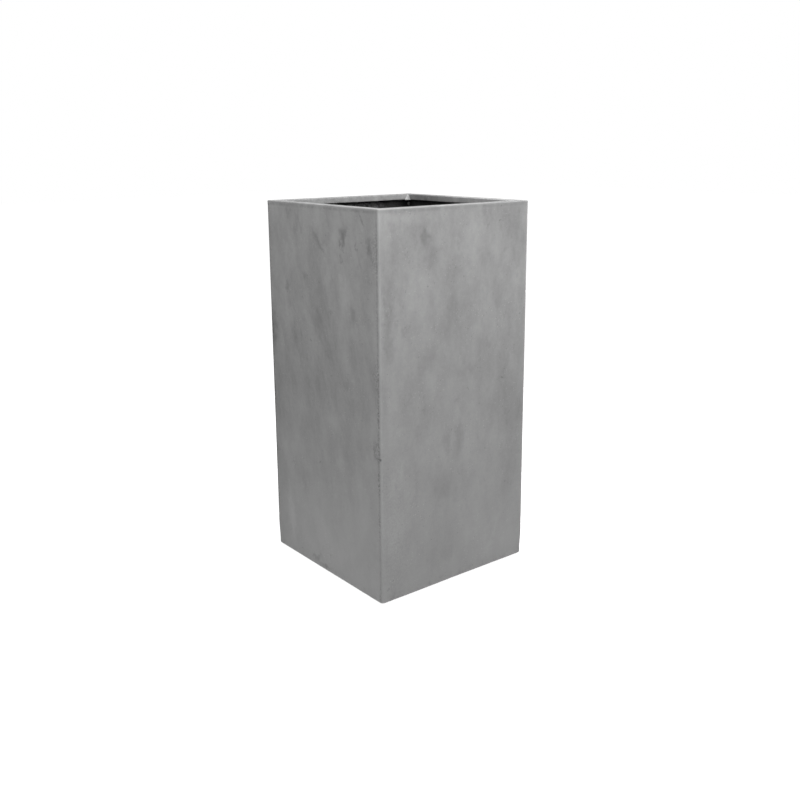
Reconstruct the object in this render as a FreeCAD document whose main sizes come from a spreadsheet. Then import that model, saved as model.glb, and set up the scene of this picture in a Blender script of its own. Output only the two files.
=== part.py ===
import FreeCAD, Part

import os

import Sketcher

# Tall square planter, laid up by hand: a grey stone-resin facing, black glass-mat laminate inside it,
# a mitred rim that returns into the mouth, a rubber drain plug and rubber foot pads.
#
# Millimetres, +Z up. The origin is on the floor, at the centre of the planter.
# "Front" is -Y, "left" is -X. What repeats around the planter is drawn once, on the front side
# or in the front left corner, and turned about Z by its body's placement.

SIZES = [
    # alias, value, what it measures
    ("planter_width", 400, "outside width, the same both ways"),
    ("planter_height", 800, "floor to rim"),
    ("edge_radius", 5, "outer upright edges"),
    ("rim_radius", 2, "outer edge of the rim"),
    ("foot_radius", 8, "outer edge of the foot ring"),
    ("facing_thickness", 3.5, "stone-resin facing"),
    ("ring_width", 30, "foot ring, from the outside inwards"),
    ("recess_depth", 3, "shallow recess inside the foot ring"),
    ("recess_radius", 14, "upright corners of the recess"),
    ("ring_inner_radius", 1.5, "inner lower edge of the foot ring"),
    ("drain_radius", 12.5, "drain hole through facing and laminate"),
    ("wall_mat_thickness", 3.5, "laminate on the walls"),
    ("base_mat_thickness", 5, "laminate on the floor"),
    ("tape_thickness", 1.5, "joint tapes"),
    ("corner_tape_leg", 50, "upright corner tapes, along each wall"),
    ("base_tape_rise", 50, "base tape, up the walls"),
    ("base_tape_reach", 48, "base tape, along the floor"),
    ("tape_cove_radius", 6, "inner corners of the tapes"),
    ("tape_headroom", 1, "corner tapes end this far below the lip"),
    ("rim_width", 24, "flat rim, the facing's edge included"),
    ("lip_thickness", 4, "flat strip of the rim"),
    ("return_thickness", 4, "return of the rim, down into the mouth"),
    ("return_depth", 13, "rim top to the return's lower edge"),
    ("lip_top_radius", 1.5, "inner upper edge of the rim"),
    ("lip_lower_radius", 1.2, "lower edges of the return"),
    ("filler_radius", 5, "putty cove in the corners of the mouth"),
    ("plug_clearance", 0.05, "plug stem to drain hole, all round"),
    ("plug_flange_radius", 20, "plug flange, which lies on the floor"),
    ("plug_flange_thickness", 3, "plug flange"),
    ("plug_projection", 2, "plug stem below the recess ceiling"),
    ("plug_lead", 1.5, "chamfer that leads the plug stem in"),
    ("grip_neck_radius", 5.5, "neck of the plug's grip"),
    ("grip_neck_length", 8, "neck of the plug's grip"),
    ("grip_head_radius", 11, "head of the plug's grip"),
    ("grip_head_thickness", 7, "head of the plug's grip"),
    ("grip_head_rounding", 2.5, "both edges of the head"),
    ("plug_small_radius", 1, "flange edge and the neck's foot"),
    ("pad_standoff", 2, "foot pads stand this far below the ring"),
    ("pad_radius", 20, "round foot pads"),
    ("pad_ring_gap", 5, "foot pad to foot ring"),
    ("pad_edge_radius", 1.5, "lower edge of a pad"),
]

# Half widths, from the middle of the planter outwards to inwards.
HALF_OUTSIDE = "(Sizes.planter_width / 2)"
HALF_CAVITY = f"({HALF_OUTSIDE} - Sizes.facing_thickness)"
HALF_LAMINATE = f"({HALF_CAVITY} - Sizes.wall_mat_thickness)"
HALF_MOUTH = f"({HALF_OUTSIDE} - Sizes.rim_width)"
HALF_RECESS = f"({HALF_OUTSIDE} - Sizes.ring_width)"
PAD_PLACE = f"({HALF_RECESS} - Sizes.pad_ring_gap - Sizes.pad_radius)"

# Levels, from the floor up.
RING_LEVEL = "Sizes.pad_standoff"
RECESS_LEVEL = f"({RING_LEVEL} + Sizes.recess_depth)"
CAVITY_LEVEL = f"({RECESS_LEVEL} + Sizes.facing_thickness)"
FLOOR_LEVEL = f"({CAVITY_LEVEL} + Sizes.base_mat_thickness)"
BASE_TAPE_LEVEL = f"({FLOOR_LEVEL} + Sizes.base_tape_rise)"
RETURN_LEVEL = "(Sizes.planter_height - Sizes.return_depth)"
CORNER_TAPE_LEVEL = f"({RETURN_LEVEL} - Sizes.tape_headroom)"
LIP_LEVEL = "(Sizes.planter_height - Sizes.lip_thickness)"
RIM_LEVEL = "Sizes.planter_height"

SIDES = {"front": 0, "right": 90, "back": 180, "left": 270}
CORNERS = {"front_left": 0, "front_right": 90, "back_right": 180, "back_left": 270}

TINY = 1e-3

doc = FreeCAD.newDocument("Planter")
sheet = doc.addObject("Spreadsheet::Sheet", "Sizes")


def fill_sheet():
    for row, (alias, value, note) in enumerate(SIZES, start=1):
        sheet.set(f"A{row}", note)
        sheet.set(f"B{row}", str(value))
        sheet.setAlias(f"B{row}", alias)
    doc.recompute()


def number(expression):
    """The value of an expression over the sheet, in millimetres."""
    return float(sheet.evalExpression(expression))


def new_body(label, angle=0):
    """An empty body, turned about Z."""
    body = doc.addObject("PartDesign::Body", label)
    body.Label = label
    body.Placement = FreeCAD.Placement(FreeCAD.Vector(), FreeCAD.Rotation(FreeCAD.Vector(0, 0, 1), angle))
    return body


def new_sketch(body, name, role="XY_Plane", level=None):
    """A sketch on one of the body's own origin planes, or parallel to it at a level."""
    sketch = body.newObject("Sketcher::SketchObject", name)
    plane = next(f for f in body.Origin.OriginFeatures if f.Role == role)
    sketch.AttachmentSupport = (plane, [""])
    sketch.MapMode = "FlatFace"
    if level:
        sketch.setExpression("AttachmentOffset.Base.z", level)
    return sketch


def bind(sketch, constraint, expression):
    """Adds a size to a sketch and ties it to the sheet."""
    index = sketch.addConstraint(constraint)
    sketch.setExpression(f"Constraints[{index}]", expression)


def draw_outline(sketch, corners):
    """A closed outline of straight lines. Each corner is a pair of expressions."""
    points = [FreeCAD.Vector(number(x), number(y), 0) for x, y in corners]
    count = len(points)
    for i in range(count):
        sketch.addGeometry(Part.LineSegment(points[i], points[(i + 1) % count]), False)
    for i in range(count):
        sketch.addConstraint(Sketcher.Constraint("Coincident", i, 2, (i + 1) % count, 1))
    for i, (x, y) in enumerate(corners):
        bind(sketch, Sketcher.Constraint("DistanceX", -1, 1, i, 1, points[i].x), x)
        bind(sketch, Sketcher.Constraint("DistanceY", -1, 1, i, 1, points[i].y), y)


def draw_square(sketch, half):
    """A square about the planter's middle."""
    draw_outline(sketch, [(f"-{half}", f"-{half}"), (half, f"-{half}"), (half, half), (f"-{half}", half)])


def draw_circle(sketch, radius, x="0", y="0"):
    centre = FreeCAD.Vector(number(x), number(y), 0)
    size = number(radius)
    sketch.addGeometry(Part.Circle(centre, FreeCAD.Vector(0, 0, 1), size), False)
    bind(sketch, Sketcher.Constraint("Radius", 0, size), radius)
    bind(sketch, Sketcher.Constraint("DistanceX", -1, 1, 0, 3, centre.x), x)
    bind(sketch, Sketcher.Constraint("DistanceY", -1, 1, 0, 3, centre.y), y)


def add_pad(body, name, sketch, length):
    """Pads a sketch upwards."""
    pad = body.newObject("PartDesign::Pad", name)
    pad.Profile = sketch
    pad.setExpression("Length", length)
    doc.recompute()
    return pad


def add_pocket(body, name, sketch, depth, upwards=False):
    """Cuts a sketch out, down into the solid or up into it, and makes sure that it cut."""
    before = body.Shape.Volume
    pocket = body.newObject("PartDesign::Pocket", name)
    pocket.Profile = sketch
    pocket.Reversed = upwards
    pocket.setExpression("Length", depth)
    doc.recompute()
    if not body.Shape.Volume < before:
        raise RuntimeError(f"{body.Label}: {name} cuts nothing")
    return pocket


def round_edges(body, name, radius, chosen):
    """Fillets the edges of the body's latest shape for which chosen(edge) is true."""
    base = body.Tip
    edges = [f"Edge{i}" for i, edge in enumerate(base.Shape.Edges, start=1) if chosen(edge)]
    if not edges:
        raise RuntimeError(f"{body.Label}: {name} finds no edge")
    fillet = body.newObject("PartDesign::Fillet", name)
    fillet.Base = (base, edges)
    fillet.setExpression("Radius", radius)
    doc.recompute()
    return fillet


def is_upright(edge):
    box = edge.BoundBox
    return box.ZLength > TINY and box.XLength < TINY and box.YLength < TINY


def lies_at(edge, level):
    """Whether the whole edge is at one level, an expression."""
    box = edge.BoundBox
    return abs(box.ZMin - number(level)) < TINY and abs(box.ZMax - number(level)) < TINY


def reaches(edge, half):
    """Whether the edge's middle is this far out along X or along Y, an expression."""
    middle = edge.CenterOfMass
    return abs(max(abs(middle.x), abs(middle.y)) - number(half)) < TINY


def make_outer_shell():
    body = new_body("outer_shell")
    block = new_sketch(body, "block_outline", level=RING_LEVEL)
    draw_square(block, HALF_OUTSIDE)
    add_pad(body, "block", block, f"{RIM_LEVEL} - {RING_LEVEL}")
    round_edges(body, "upright_rounding", "Sizes.edge_radius", is_upright)
    round_edges(body, "foot_rounding", "Sizes.foot_radius", lambda e: lies_at(e, RING_LEVEL))
    round_edges(body, "rim_rounding", "Sizes.rim_radius", lambda e: lies_at(e, RIM_LEVEL))

    cavity = new_sketch(body, "cavity_outline", level=RIM_LEVEL)
    draw_square(cavity, HALF_CAVITY)
    add_pocket(body, "cavity", cavity, f"{RIM_LEVEL} - {CAVITY_LEVEL}")

    recess = new_sketch(body, "recess_outline", level=RING_LEVEL)
    draw_square(recess, HALF_RECESS)
    add_pocket(body, "recess", recess, "Sizes.recess_depth", upwards=True)
    round_edges(
        body, "recess_corners", "Sizes.recess_radius", lambda e: is_upright(e) and reaches(e, HALF_RECESS)
    )
    round_edges(body, "ring_rounding", "Sizes.ring_inner_radius", is_ring_inner_edge)

    drain = new_sketch(body, "drain_outline", level=CAVITY_LEVEL)
    draw_circle(drain, "Sizes.drain_radius")
    add_pocket(body, "drain", drain, "Sizes.facing_thickness")
    return body


def is_ring_inner_edge(edge):
    """The lower edge of the recess, its corners included."""
    middle = edge.CenterOfMass
    reach = max(abs(middle.x), abs(middle.y))
    return lies_at(edge, RING_LEVEL) and reach < number(HALF_RECESS) + TINY


def make_lip(side, angle):
    """An angle strip with mitred ends: the flat of the rim and its return into the mouth."""
    body = new_body(f"lip_{side}", angle)
    flat = new_sketch(body, "flat_outline", level=LIP_LEVEL)
    draw_mitred_strip(flat, HALF_CAVITY, HALF_MOUTH)
    add_pad(body, "flat", flat, "Sizes.lip_thickness")

    drop = new_sketch(body, "return_outline", level=RETURN_LEVEL)
    draw_mitred_strip(drop, f"({HALF_MOUTH} + Sizes.return_thickness)", HALF_MOUTH)
    add_pad(body, "return", drop, "Sizes.return_depth")
    round_edges(
        body, "mouth_rounding", "Sizes.lip_top_radius",
        lambda e: lies_at(e, RIM_LEVEL) and reaches(e, HALF_MOUTH),
    )
    round_edges(
        body, "return_rounding", "Sizes.lip_lower_radius",
        lambda e: lies_at(e, RETURN_LEVEL) and e.BoundBox.YLength < TINY,
    )
    return body


def draw_mitred_strip(sketch, outer, inner):
    """A strip along the front, between two half widths, cut at 45 degrees at both ends."""
    draw_outline(
        sketch,
        [(f"-{outer}", f"-{outer}"), (outer, f"-{outer}"), (inner, f"-{inner}"), (f"-{inner}", f"-{inner}")],
    )


def make_lip_corner_fillers():
    """Four coves of putty in the corners of the mouth, between the roundings of the return."""
    body = new_body("lip_corner_fillers")
    low = f"({RETURN_LEVEL} + Sizes.lip_lower_radius)"
    high = f"({RIM_LEVEL} - Sizes.lip_top_radius)"
    inset = f"({HALF_MOUTH} - Sizes.filler_radius)"
    block = new_sketch(body, "filler_outline", level=low)
    draw_outline(
        block,
        [(f"-{HALF_MOUTH}", f"-{HALF_MOUTH}"), (f"-{inset}", f"-{HALF_MOUTH}"),
         (f"-{inset}", f"-{inset}"), (f"-{HALF_MOUTH}", f"-{inset}")],
    )
    pad = add_pad(body, "filler", block, f"{high} - {low}")
    cove = new_sketch(body, "cove_outline", level=high)
    draw_circle(cove, "Sizes.filler_radius", f"-{inset}", f"-{inset}")
    pocket = add_pocket(body, "cove", cove, f"{high} - {low}")

    around = body.newObject("PartDesign::PolarPattern", "four_corners")
    around.Originals = [pad, pocket]
    around.Axis = (next(f for f in body.Origin.OriginFeatures if f.Role == "Z_Axis"), [""])
    around.Angle = 360
    around.Occurrences = len(CORNERS)
    body.Tip = around
    doc.recompute()
    return body


def make_wall_mat(side, angle, half_length):
    """A laminate plate on one wall, from the base mat up to the rim's strip."""
    body = new_body(f"glass_mat_{side}", angle)
    plate = new_sketch(body, "plate_outline", level=FLOOR_LEVEL)
    draw_outline(
        plate,
        [(f"-{half_length}", f"-{HALF_CAVITY}"), (half_length, f"-{HALF_CAVITY}"),
         (half_length, f"-{HALF_LAMINATE}"), (f"-{half_length}", f"-{HALF_LAMINATE}")],
    )
    add_pad(body, "plate", plate, f"{LIP_LEVEL} - {FLOOR_LEVEL}")
    return body


def make_base_mat():
    body = new_body("glass_mat_base")
    plate = new_sketch(body, "plate_outline", level=CAVITY_LEVEL)
    draw_square(plate, HALF_CAVITY)
    add_pad(body, "plate", plate, "Sizes.base_mat_thickness")
    drain = new_sketch(body, "drain_outline", level=FLOOR_LEVEL)
    draw_circle(drain, "Sizes.drain_radius")
    add_pocket(body, "drain", drain, "Sizes.base_mat_thickness")
    return body


def make_corner_tape(corner, angle):
    """An angle of mat over the joint of two wall laminates."""
    body = new_body(f"corner_tape_{corner}", angle)
    outer = f"-{HALF_LAMINATE}"
    inner = f"-({HALF_LAMINATE} - Sizes.tape_thickness)"
    end = f"-({HALF_LAMINATE} - Sizes.corner_tape_leg)"
    angle_outline = new_sketch(body, "angle_outline", level=BASE_TAPE_LEVEL)
    draw_outline(
        angle_outline,
        [(outer, outer), (end, outer), (end, inner), (inner, inner), (inner, end), (outer, end)],
    )
    add_pad(body, "angle", angle_outline, f"{CORNER_TAPE_LEVEL} - {BASE_TAPE_LEVEL}")
    inner_place = number(inner)

    def is_inner_corner(edge):
        middle = edge.CenterOfMass
        return is_upright(edge) and max(abs(middle.x - inner_place), abs(middle.y - inner_place)) < TINY

    round_edges(body, "cove", "Sizes.tape_cove_radius", is_inner_corner)
    return body


def make_base_tape():
    """A tray-shaped frame of mat over the joint of walls and floor."""
    body = new_body("base_tape")
    half_inside = f"({HALF_LAMINATE} - Sizes.tape_thickness)"
    half_window = f"({HALF_LAMINATE} - Sizes.base_tape_reach)"
    block = new_sketch(body, "block_outline", level=FLOOR_LEVEL)
    draw_square(block, HALF_LAMINATE)
    add_pad(body, "block", block, "Sizes.base_tape_rise")
    hollow = new_sketch(body, "hollow_outline", level=BASE_TAPE_LEVEL)
    draw_square(hollow, half_inside)
    add_pocket(body, "hollow", hollow, "Sizes.base_tape_rise - Sizes.tape_thickness")
    window = new_sketch(body, "window_outline", level=f"{FLOOR_LEVEL} + Sizes.tape_thickness")
    draw_square(window, half_window)
    add_pocket(body, "window", window, "Sizes.tape_thickness")
    round_edges(
        body, "corner_coves", "Sizes.tape_cove_radius", lambda e: is_upright(e) and reaches(e, half_inside)
    )
    round_edges(body, "floor_cove", "Sizes.tape_cove_radius", is_tape_floor_edge)
    return body


def is_tape_floor_edge(edge):
    """The inner corner between the base tape's foot and its rise."""
    middle = edge.CenterOfMass
    reach = max(abs(middle.x), abs(middle.y))
    window = number(f"{HALF_LAMINATE} - Sizes.base_tape_reach")
    return lies_at(edge, f"{FLOOR_LEVEL} + Sizes.tape_thickness") and reach > window + TINY


def make_drain_plug():
    """A turned rubber bung: stem, flange and a mushroom grip."""
    body = new_body("drain_plug")
    stem = "(Sizes.drain_radius - Sizes.plug_clearance)"
    flange = "Sizes.plug_flange_radius"
    neck = "Sizes.grip_neck_radius"
    head = "Sizes.grip_head_radius"
    bottom = f"({RECESS_LEVEL} - Sizes.plug_projection)"
    flange_top = f"({FLOOR_LEVEL} + Sizes.plug_flange_thickness)"
    head_bottom = f"({flange_top} + Sizes.grip_neck_length)"
    head_top = f"({head_bottom} + Sizes.grip_head_thickness)"
    profile = new_sketch(body, "profile", role="XZ_Plane")
    draw_outline(
        profile,
        [("0", bottom), (f"{stem} - Sizes.plug_lead", bottom), (stem, f"{bottom} + Sizes.plug_lead"),
         (stem, FLOOR_LEVEL), (flange, FLOOR_LEVEL), (flange, flange_top), (neck, flange_top),
         (neck, head_bottom), (head, head_bottom), (head, head_top), ("0", head_top)],
    )
    turned = body.newObject("PartDesign::Revolution", "turned")
    turned.Profile = profile
    turned.ReferenceAxis = (profile, ["V_Axis"])
    turned.Angle = 360
    doc.recompute()

    def is_circle(edge, radius, level):
        return lies_at(edge, level) and abs(edge.BoundBox.XMax - number(radius)) < TINY

    round_edges(
        body, "head_rounding", "Sizes.grip_head_rounding",
        lambda e: is_circle(e, head, head_top) or is_circle(e, head, head_bottom),
    )
    round_edges(
        body, "small_rounding", "Sizes.plug_small_radius",
        lambda e: is_circle(e, flange, flange_top) or is_circle(e, neck, flange_top),
    )
    return body


def make_foot_pad(corner, angle):
    """A round rubber pad, bonded to the recess ceiling."""
    body = new_body(f"foot_pad_{corner}", angle)
    disc = new_sketch(body, "disc_outline")
    draw_circle(disc, "Sizes.pad_radius", f"-{PAD_PLACE}", f"-{PAD_PLACE}")
    add_pad(body, "disc", disc, RECESS_LEVEL)
    round_edges(body, "edge_rounding", "Sizes.pad_edge_radius", lambda e: lies_at(e, "0"))
    return body


def make_all():
    parts = [make_outer_shell()]
    parts += [make_lip(side, angle) for side, angle in SIDES.items()]
    parts.append(make_lip_corner_fillers())
    for side, angle in SIDES.items():
        # The front and back laminates run the full width, and the other two butt against them.
        half_length = HALF_CAVITY if side in ("front", "back") else HALF_LAMINATE
        parts.append(make_wall_mat(side, angle, half_length))
    parts.append(make_base_mat())
    parts += [make_corner_tape(corner, angle) for corner, angle in CORNERS.items()]
    parts.append(make_base_tape())
    parts.append(make_drain_plug())
    parts += [make_foot_pad(corner, angle) for corner, angle in CORNERS.items()]
    return parts


def check_document(parts):
    """Stops if any feature failed or any piece isn't a sound solid."""
    doc.recompute()
    for item in doc.Objects:
        if "Invalid" in item.State or "Error" in item.State:
            raise RuntimeError(f"{item.Label} failed: {item.State}")
    for part in parts:
        shape = part.Shape
        if shape.isNull() or not shape.isValid() or not shape.Solids:
            raise RuntimeError(f"{part.Label} has no sound solid")


def write_parts(parts):
    os.makedirs("parts", exist_ok=True)
    for part in parts:
        part.Shape.exportStep(f"parts/{part.Label}.step")
        print(f"{part.Label}: solids {len(part.Shape.Solids)}, volume {part.Shape.Volume:.0f} mm3")


fill_sheet()
pieces = make_all()
check_document(pieces)
write_parts(pieces)
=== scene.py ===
import math
from functools import partial
from types import SimpleNamespace

import bmesh
import bpy
import numpy as np
from mathutils import Matrix, Vector


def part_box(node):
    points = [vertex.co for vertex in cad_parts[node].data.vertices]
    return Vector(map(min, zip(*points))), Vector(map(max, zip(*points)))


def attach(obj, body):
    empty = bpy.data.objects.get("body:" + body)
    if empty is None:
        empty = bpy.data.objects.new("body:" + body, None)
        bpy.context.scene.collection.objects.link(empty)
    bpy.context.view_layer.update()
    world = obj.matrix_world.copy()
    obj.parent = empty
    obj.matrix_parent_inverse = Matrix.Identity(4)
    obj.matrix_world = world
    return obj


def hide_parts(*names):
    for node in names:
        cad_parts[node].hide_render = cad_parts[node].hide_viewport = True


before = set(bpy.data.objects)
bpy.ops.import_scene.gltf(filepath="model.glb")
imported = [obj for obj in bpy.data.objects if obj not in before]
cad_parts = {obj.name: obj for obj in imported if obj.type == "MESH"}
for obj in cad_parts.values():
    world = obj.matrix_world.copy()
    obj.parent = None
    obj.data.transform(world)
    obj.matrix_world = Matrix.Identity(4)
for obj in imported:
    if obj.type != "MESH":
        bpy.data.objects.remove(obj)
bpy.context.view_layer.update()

# The looks of a tall square planter: stone-filled resin outside, black glass laminate inside.
# Everything is in metres, in the frame of the CAD model: front is -Y, up is +Z.

MM = 0.001
SIDES = ("front", "right", "back", "left")
CORNERS = ("front_left", "front_right", "back_right", "back_left")
CORNER_SIGNS = ((-1, -1), (1, -1), (1, 1), (-1, 1))
OUTWARD = np.array(((0, -1), (1, 0), (0, 1), (-1, 0), (0, -1)), float)


def read_sizes():
    """The planter's main places, taken from the boxes of its CAD nodes."""
    shell_low, shell_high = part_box("outer_shell")
    lip_low, lip_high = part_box("lip_back")
    mat_low, mat_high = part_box("glass_mat_back")
    base_low, base_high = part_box("glass_mat_base")
    tape_low, tape_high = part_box("corner_tape_back_right")
    return SimpleNamespace(
        half=shell_high.x,
        height=shell_high.z,
        ring_level=shell_low.z,
        mouth=lip_low.y,
        cavity=lip_high.y,
        return_level=lip_low.z,
        mat_face=mat_low.y,
        mat_top=mat_high.z,
        facing_floor=base_low.z,
        floor=base_high.z,
        tape_leg=mat_low.y - tape_low.y,
        tape_low=tape_low.z,
        tape_high=tape_high.z,
        base_tape_top=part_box("base_tape")[1].z,
    )


size = read_sizes()

# Sizes that the boxes don't give. The upright edges and the foot are sharper than the solids'
# (5 and 8 mm), as close views of the photograph show them. The other sizes are the solids' own.
EDGE_RADIUS = 4 * MM
FOOT_RADIUS = 3.5 * MM
WORN_CORNER_RADIUS = 8 * MM
RIM_RADIUS = 2 * MM
RING_WIDTH = 30 * MM
RING_INNER_RADIUS = 1.5 * MM
RECESS_LEVEL = 5 * MM
RECESS_RADIUS = 14 * MM
DRAIN_RADIUS = 12.5 * MM
LIP_THICKNESS = 4 * MM
RETURN_THICKNESS = 4 * MM
LIP_TOP_RADIUS = 1.5 * MM
LIP_LOWER_RADIUS = 1.2 * MM
TAPE_THICKNESS = 1.5 * MM
TAPE_COVE_RADIUS = 6 * MM
BASE_TAPE_REACH = 48 * MM
PLUG_CLEARANCE = 0.05 * MM


# ---- uneven surfaces

class Ripple:
    """A gentle unevenness in space: a sum of seeded waves near one wavelength."""

    WAVES = 12

    def __init__(self, seed, wavelength):
        draw = np.random.default_rng(seed)
        way = draw.normal(size=(self.WAVES, 3))
        way /= np.linalg.norm(way, axis=1)[:, None]
        length = wavelength * draw.uniform(0.6, 1.6, self.WAVES)
        self.wave = way * (2 * math.pi / length)[:, None]
        self.phase = draw.uniform(0, 2 * math.pi, self.WAVES)

    def __call__(self, points):
        """About -1 to 1 at each of the points."""
        flat = np.asarray(points, float).reshape(-1, 3)
        waves = np.sin(flat @ self.wave.T + self.phase)
        total = waves.sum(axis=1) / math.sqrt(2 * self.WAVES)
        return np.clip(total, -2, 2).reshape(np.shape(points)[:-1]) / 1.6


def fade(value, low, high):
    """0 at low, 1 at high, smooth between them."""
    part = np.clip((value - low) / (high - low), 0, 1)
    return part * part * (3 - 2 * part)


wall_swell = Ripple(11, 260 * MM)
wall_hand = Ripple(12, 45 * MM)
edge_wear = Ripple(13, 16 * MM)
edge_chips = Ripple(14, 5 * MM)
lip_wave = Ripple(15, 60 * MM)
lip_ragged = Ripple(16, 11 * MM)
mat_swell = Ripple(17, 70 * MM)
mat_lumps = Ripple(18, 13 * MM)
tape_edge = Ripple(19, 26 * MM)
tape_fray = Ripple(20, 6 * MM)
putty_lumps = Ripple(21, 7 * MM)


# ---- meshes

def graded(half, fine, growth, coarse):
    """Stops from -half to half, closest together at both ends."""
    stops = [0.0]
    step = fine
    while stops[-1] < half:
        stops.append(stops[-1] + step)
        step = min(step * growth, coarse)
    from_end = np.array(stops) * (half / stops[-1]) - half
    return np.concatenate([from_end, -from_end[-2::-1]])


def grid_faces(rows, columns, closed_rows=False, closed_columns=False):
    """Quads over a grid of points, with each corner's column and row for its place in the map."""
    row = np.arange(rows if closed_rows else rows - 1)
    column = np.arange(columns if closed_columns else columns - 1)
    r, c = np.meshgrid(row, column, indexing="ij")
    corners = [(r, c), (r, c + 1), (r + 1, c + 1), (r + 1, c)]
    faces = np.stack([(a % rows) * columns + b % columns for a, b in corners], axis=-1)
    places = np.stack([np.stack([b, a], axis=-1) for a, b in corners], axis=-2)
    return faces.reshape(-1, 4), places.reshape(-1, 4, 2).astype(float)


def in_window(places, window, columns, rows):
    """Spreads a grid's column and row numbers over a window (left, bottom, right, top) of the map."""
    left, bottom, right, top = window
    share = places / (columns, rows)
    return share * (right - left, top - bottom) + (left, bottom)


FRONT_SHARE_OF_MAP = 0.8


class Pile:
    """Points, faces and map places of one piece, gathered part by part."""

    def __init__(self):
        self.points = []
        self.faces = []
        self.places = []
        self.count = 0

    def add(self, points, faces, places):
        points = np.asarray(points, float).reshape(-1, 3)
        self.points.append(points)
        self.faces.extend((np.asarray(face) + self.count).tolist() for face in faces)
        self.places.extend(np.asarray(place, float).reshape(-1, 2) for place in places)
        self.count += len(points)

    def add_slab(self, front, back, window):
        """A closed sheet between two grids of points."""
        rows, columns = front.shape[:2]
        left, bottom, right, top = window
        middle = bottom + FRONT_SHARE_OF_MAP * (top - bottom)
        faces, places = grid_faces(rows, columns)
        front_places = in_window(places, (left, bottom, right, middle), columns, rows)
        back_places = in_window(places, (left, middle, right, top), columns, rows)
        behind = rows * columns
        number = np.arange(behind).reshape(rows, columns)
        rim = np.concatenate([number[0], number[1:, -1], number[-1, -2::-1], number[-2:0:-1, 0]])
        following = np.roll(rim, -1)
        rim_faces = np.stack([rim, rim + behind, following + behind, following], axis=-1)
        rim_places = np.zeros((len(rim), 4, 2)) + (right, top)
        self.add(np.stack([front, back]), [*faces, *(faces[:, ::-1] + behind), *rim_faces],
                 [*front_places, *back_places[:, ::-1], *rim_places])

    def add_loop(self, points, window, weights):
        """A closed ring: rows are the section's points, columns go round and join up. Weights
        are the rows' shares of the map."""
        rows, columns = points.shape[:2]
        faces, places = grid_faces(rows, columns, closed_rows=True, closed_columns=True)
        heights = np.concatenate([[0], np.cumsum(weights)]) / np.sum(weights)
        places[..., 1] = heights[places[..., 1].astype(int)] * rows
        self.add(points, faces, in_window(places, window, columns, rows))

    def add_bar(self, points, window):
        """A closed bar: rows are stations, columns go round the section, flat ends."""
        rows, columns = points.shape[:2]
        faces, places = grid_faces(rows, columns, closed_columns=True)
        ends = [np.arange(columns)[::-1], np.arange(columns) + (rows - 1) * columns]
        corner = np.zeros((columns, 2)) + (window[2], window[3])
        self.add(points, [*faces, *ends], [*in_window(places, window, columns, rows), corner, corner])


def new_object(name, data):
    thing = bpy.data.objects.new(name, data)
    bpy.context.collection.objects.link(thing)
    return thing


def new_piece(name, pile, material, body, replaced, smooth_angle):
    """Makes the pile into an object with outward faces, parents it to its body and hides the CAD part it
    replaces.
    """
    mesh = bpy.data.meshes.new(name)
    mesh.from_pydata(np.concatenate(pile.points).tolist(), [], pile.faces)
    layer = mesh.uv_layers.new(name="OFBake")
    layer.data.foreach_set("uv", np.concatenate(pile.places).ravel())
    shape = bmesh.new()
    shape.from_mesh(mesh)
    bmesh.ops.recalc_face_normals(shape, faces=shape.faces)
    shape.to_mesh(mesh)
    shape.free()
    mesh.shade_smooth()
    mesh.set_sharp_from_angle(angle=math.radians(smooth_angle))
    mesh.materials.append(material)
    piece = new_object(name, mesh)
    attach(piece, body)
    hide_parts(replaced)


class SquareLoop:
    """Columns round a rounded square: normal is where a column's corner arc points, and span
    is where its arc's centre lies, as a share of the straight part's half length."""

    def __init__(self, half, fine, growth, coarse, arc_steps):
        normals = []
        spans = []
        straight = graded(half, fine, growth, coarse) / half
        arc = np.linspace(0, math.pi / 2, arc_steps + 1)[1:-1]
        for normal, along in zip(OUTWARD, OUTWARD[1:]):
            for share in straight:
                normals.append(normal)
                spans.append(normal + along * share)
            for angle in arc:
                normals.append(normal * math.cos(angle) + along * math.sin(angle))
                spans.append(normal + along)
        self.normal = np.array(normals)
        self.span = np.array(spans)
        self.count = len(normals)

    def square(self, half, radius, level):
        """A rounded square of a half width and corner radius."""
        flat = self.normal * radius + self.span * (half - radius)
        return np.column_stack([flat, np.full(self.count, level)])

    def circle(self, radius, level):
        """A circle. A little of the normals keeps the columns of a corner arc apart."""
        way = self.normal * 0.02 + self.span
        flat = way / np.linalg.norm(way, axis=1)[:, None] * radius
        return np.column_stack([flat, np.full(self.count, level)])


def arc_points(radius, start, end, steps):
    """Pairs (cosine, sine) times the radius along an arc, angles in degrees."""
    angles = np.radians(np.linspace(start, end, steps + 1))
    return [(radius * math.cos(angle), radius * math.sin(angle)) for angle in angles]


def round_corner(centre, radius, start, end, steps):
    """Points of an arc about a centre, angles in degrees."""
    return [(centre[0] + x, centre[1] + y) for x, y in arc_points(radius, start, end, steps)]


# ---- materials

class Value:
    """A number that nodes work out at each point of a surface. Arithmetic with it adds nodes."""

    def __init__(self, nodes, socket):
        self.nodes = nodes
        self.socket = socket

    def __add__(self, other):
        return self.nodes.math("ADD", self, other)

    def __sub__(self, other):
        return self.nodes.math("SUBTRACT", self, other)

    def __rsub__(self, other):
        return self.nodes.math("SUBTRACT", other, self)

    def __mul__(self, other):
        return self.nodes.math("MULTIPLY", self, other)

    __radd__ = __add__

    def larger(self, other):
        return self.nodes.math("MAXIMUM", self, other)

    def smaller(self, other):
        return self.nodes.math("MINIMUM", self, other)

    def swing(self, strength):
        """The value about its middle, times a strength."""
        return (self - 0.5) * strength

    def step(self, low, high, most=1.0):
        """0 at low and beyond it, most at high and beyond it, smooth between, either way round."""
        limits = {"Value": self, "From Min": low, "From Max": high, "To Max": most}
        node = self.nodes.add("ShaderNodeMapRange", limits, interpolation_type="SMOOTHSTEP")
        return Value(self.nodes, node.outputs[0])


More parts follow.
